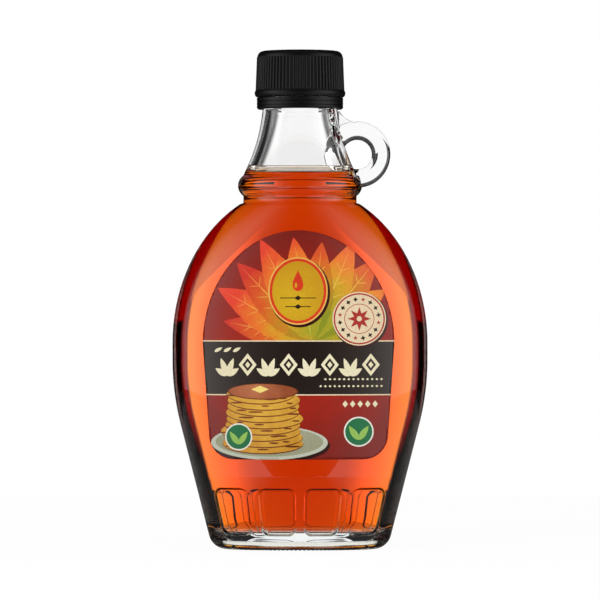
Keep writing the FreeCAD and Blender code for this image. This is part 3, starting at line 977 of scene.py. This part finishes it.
def mark_wet_wall(glass):
    """Gives the inner wall below the syrup's level the glass's second material."""
    for polygon in glass.data.polygons:
        centre = polygon.center
        if centre.z > LEVEL_Z or centre.z < FLOOR_Z - 0.5 * MM:
            continue
        out = math.hypot(centre.x, centre.y)
        side = centre.x * polygon.normal.x + centre.y * polygon.normal.y
        inward = side < 0 and out < half_width(centre.z) - 0.5 * WALL
        floor = polygon.normal.z > 0.7 and centre.z < FLOOR_Z + 0.5 * FLOOR_RADIUS
        in_neck = centre.z < NECK_ROOT_Z or out < NECK_ROOT_RADIUS - 0.5 * NECK_WALL
        if (inward or floor) and in_neck:
            polygon.material_index = 1


def cap_material():
    """Black moulded plastic with a fine even texture and faint scuffs."""
    material, shader = principled("black_cap", Base_Color=CAP_COLOUR, Roughness=0.42, IOR=CAP_IOR)
    tree = material.node_tree
    place = node(tree, "TexCoord").outputs["Object"]
    grain = speckle(tree, place, CAP_GRAIN_SCALE, 3.0)
    bump = node(tree, "Bump", (("Strength", 0.12), ("Distance", 0.1 * MM), ("Height", grain)))
    scuffs = speckle(tree, place, CAP_SCUFF_SCALE, 6.0)
    tree.links.new(bump.outputs["Normal"], shader.inputs["Normal"])
    tree.links.new(ramp_between(tree, scuffs, (0.0, 1.0), CAP_ROUGHNESS), shader.inputs["Roughness"])
    return material


def printed(name, stops, roughness=0.3, centre=(0, -0.022, 0.07), spread=40 * MM, wander=0.25):
    """Glossy printed paper whose colour runs outwards from a centre through its stops, with a fine grain."""
    material, shader = principled("print_" + name, Roughness=roughness, IOR=1.46)
    tree = material.node_tree
    place = node(tree, "TexCoord").outputs["Object"]
    distance = node(tree, "VectorMath", ((0, place), (1, centre)), operation="DISTANCE").outputs["Value"]
    clouds = speckle(tree, place, CLOUD_SCALE, 4.0)
    shift = calculate(tree, "MULTIPLY_ADD", clouds, wander, -0.5 * wander)
    run = calculate(tree, "MULTIPLY_ADD", distance, 1 / spread, shift)
    colour = colour_ramp(tree, run, [(share, srgb(*channels)) for share, channels in stops])
    dots = speckle(tree, place, GRAIN_SCALE, 2.0)
    shade = ramp_between(tree, dots, (0.0, 1.0), (1.0 - PRINT_GRAIN, 1.0 + PRINT_GRAIN))
    tint = node(tree, "Mix", ((0, 1.0), (6, colour), (7, shade)), data_type="RGBA", blend_type="MULTIPLY")
    tree.links.new(tint.outputs[2], shader.inputs["Base Color"])
    return material


# ---------------------------------------------------------------- stage, lights and camera

def build_floor():
    """Pale paper: white to the camera and in glass, with a trace of shadow, and dark in gloss."""
    bpy.ops.mesh.primitive_circle_add(vertices=96, radius=FLOOR_RADIUS_OUT, fill_type="NGON")
    floor = bpy.context.object
    floor.name = "floor"
    material, shader = principled("floor_paper", Base_Color=FLOOR_PAPER, Roughness=0.9)
    tree = material.node_tree
    path = node(tree, "LightPath").outputs
    seen = calculate(tree, "MAXIMUM", path["Is Camera Ray"], path["Is Glossy Ray"])
    seen = calculate(tree, "MAXIMUM", seen, path["Is Transmission Ray"])
    weight = calculate(tree, "MULTIPLY", seen, FLOOR_WHITENESS)
    place = node(tree, "TexCoord").outputs["Object"]
    parts = node(tree, "SeparateXYZ", ((0, place),)).outputs
    beside = ramp_between(tree, calculate(tree, "ABSOLUTE", parts["X"]), FLOOR_GLOSS_X, (0.0, 1.0))
    before = ramp_between(tree, parts["Y"], FLOOR_GLOSS_Y, (0.0, 1.0))
    both = calculate(tree, "MULTIPLY", beside, before)
    gloss = ramp_between(tree, both, (0.0, 1.0), FLOOR_IN_GLOSS)
    level = pick(tree, path["Is Glossy Ray"], FLOOR_LEVEL, gloss)
    level = pick(tree, path["Is Transmission Ray"], level, FLOOR_LEVEL)
    white = node(tree, "Emission", (("Strength", level),)).outputs[0]
    mix = node(tree, "MixShader", ((0, weight), (1, shader.outputs[0]), (2, white))).outputs[0]
    tree.links.new(mix, tree.nodes["Material Output"].inputs["Surface"])
    floor.data.materials.append(material)


def build_flags():
    """Two black cards behind the neck, seen only through glass, that darken the ends of its bead."""
    material, _ = principled("black_card", Base_Color=(0, 0, 0, 1), Roughness=1.0, Specular_IOR_Level=0.0)
    low, high = FLAG_SPAN_Z
    for side in (-1, 1):
        near = side * FLAG_NEAR_X
        far = side * FLAG_FAR_X
        corners = [(near, FLAG_Y, low), (far, FLAG_Y, low), (far, FLAG_Y, high), (near, FLAG_Y, high)]
        mesh = bpy.data.meshes.new("flag")
        mesh.from_pydata(corners, [], [(0, 1, 2, 3)])
        mesh.materials.append(material)
        flag = add_object("flag", mesh)
        flag.visible_camera = False
        flag.visible_diffuse = False
        flag.visible_glossy = False
        flag.visible_shadow = False


def studio_level(tree, turn, stops):
    """How bright the studio is at each angle from straight behind the bottle, as (degrees, level) stops."""
    peak = max(level for _, level in stops)
    shares = [(degrees / 180, level / peak) for degrees, level in stops]
    ramp = colour_ramp(tree, turn, [(place, (share, share, share, 1)) for place, share in shares])
    return calculate(tree, "MULTIPLY", ramp, peak)


def half_turns(tree, operation, *values):
    """The angle that a Math node finds, as a share of half a turn."""
    return calculate(tree, "DIVIDE", calculate(tree, operation, *values), math.pi)


def sines(degrees):
    """The heights on a ball of radius 1 at these degrees above level."""
    return [math.sin(math.radians(angle)) for angle in degrees]


def seen_through(tree, parts, turn, path):
    """The studio as the bottle bends it: one wall of light through the syrup, another through clear glass."""
    wall_top = ramp_between(tree, parts["Z"], sines(WALL_TOP), (1.0, 0.0))
    syrup = calculate(tree, "MULTIPLY", studio_level(tree, turn, SEEN_THROUGH_GLASS), wall_top)
    clear = studio_level(tree, half_turns(tree, "ARCCOSINE", parts["Y"]), SEEN_THROUGH_CLEAR_GLASS)
    passed = calculate(tree, "GREATER_THAN", path["Transmission Depth"], WALLS_PASSED_IN_SYRUP - 0.5)
    through = pick(tree, passed, clear, syrup)
    low = calculate(tree, "LESS_THAN", parts["Z"], sines([FLOOR_EDGE])[0])
    return pick(tree, low, through, 1.0)


def build_world():
    """The studio all round: what is seen through glass, what is mirrored, and the even light on surfaces."""
    world = bpy.data.worlds.new("studio")
    bpy.context.scene.world = world
    world.use_nodes = True
    tree = world.node_tree
    place = node(tree, "TexCoord").outputs["Generated"]
    parts = node(tree, "SeparateXYZ", ((0, place),)).outputs
    path = node(tree, "LightPath").outputs
    turn = half_turns(tree, "ARCTAN2", calculate(tree, "ABSOLUTE", parts["X"]), parts["Y"])
    lamp_top = ramp_between(tree, parts["Z"], sines(LAMP_TOP), (1.0, ABOVE_LAMPS))
    mirrored = calculate(tree, "MULTIPLY", studio_level(tree, turn, MIRRORED), lamp_top)
    level = pick(tree, path["Is Glossy Ray"], EVEN_LIGHT, mirrored)
    level = pick(tree, path["Is Transmission Ray"], level, seen_through(tree, parts, turn, path))
    level = pick(tree, path["Is Camera Ray"], level, 1.0)
    background = tree.nodes["Background"]
    background.inputs["Color"].default_value = (1, 1, 1, 1)
    tree.links.new(level, background.inputs["Strength"])


def build_lamp(name, place, power):
    """A soft lamp that lights surfaces but isn't mirrored in the glass."""
    light = bpy.data.lights.new(name, "AREA")
    light.shape = "RECTANGLE"
    light.size = LAMP_SIZE
    light.size_y = LAMP_SIZE
    light.energy = power
    lamp = add_object(name, light)
    lamp.location = place
    lamp.rotation_euler = (Vector(LAMP_AIM) - Vector(place)).to_track_quat("-Z", "Y").to_euler()
    lamp.visible_glossy = False
    lamp.visible_transmission = False


def build_camera():
    """Level with the bottle's middle, far off with a long lens."""
    data = bpy.data.cameras.new("camera")
    data.sensor_width = SENSOR_WIDTH
    data.lens = SENSOR_WIDTH * CAMERA_DISTANCE / FRAME_WIDTH
    camera = add_object("camera", data)
    camera.location = (0.0, -CAMERA_DISTANCE, CAMERA_HEIGHT)
    camera.rotation_euler = (math.pi / 2, 0, 0)
    bpy.context.scene.camera = camera


# ---------------------------------------------------------------- the scene

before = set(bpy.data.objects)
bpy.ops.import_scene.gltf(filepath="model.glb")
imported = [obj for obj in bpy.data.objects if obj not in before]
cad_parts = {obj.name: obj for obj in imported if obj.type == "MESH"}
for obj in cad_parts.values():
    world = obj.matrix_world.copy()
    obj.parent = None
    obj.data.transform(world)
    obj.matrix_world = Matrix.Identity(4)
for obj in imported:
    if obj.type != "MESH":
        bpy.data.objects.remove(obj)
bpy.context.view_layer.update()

ANGLES = ring_angles()
AROUND = len(ANGLES)

bottle_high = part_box("bottle")[1]
BODY_HALF_WIDTH = bottle_high.x
BODY_HALF_DEPTH = bottle_high.y
LIP_Z = bottle_high.z
FLOOR_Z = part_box("syrup")[0].z
LEVEL_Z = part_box("syrup")[1].z - LEVEL_DROP

glass = build_glass()
glass.data.materials.clear()
glass.data.materials.append(clear_material("clear_glass", GLASS_IOR, True, GLASS_COLOUR, GLASS_DENSITY))
glass.data.materials.append(clear_material("wetted_glass", GLASS_IOR, False))
mark_wet_wall(glass)
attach(glass, "root")
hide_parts("bottle")

fill = build_syrup()
fill.data.materials.append(clear_material("syrup", SYRUP_IOR, False, SYRUP_COLOUR, SYRUP_DENSITY))
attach(fill, "root")
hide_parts("syrup")

black = cap_material()
for name in ("cap", "tamper_band"):
    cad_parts[name].data.materials.clear()
    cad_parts[name].data.materials.append(black)

paper = build_label()
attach(paper, "root")
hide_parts("label")

build_floor()
build_flags()
build_world()
build_lamp("key", (-0.5, -0.9, 0.7), 5.0)
build_lamp("fill", (0.6, -0.9, 0.4), 3.0)
build_camera()
scene = bpy.context.scene
scene.view_settings.view_transform = "Standard"
scene.cycles.use_denoising = True
scene.cycles.max_bounces = MOST_BOUNCES
scene.cycles.transmission_bounces = MOST_BOUNCES
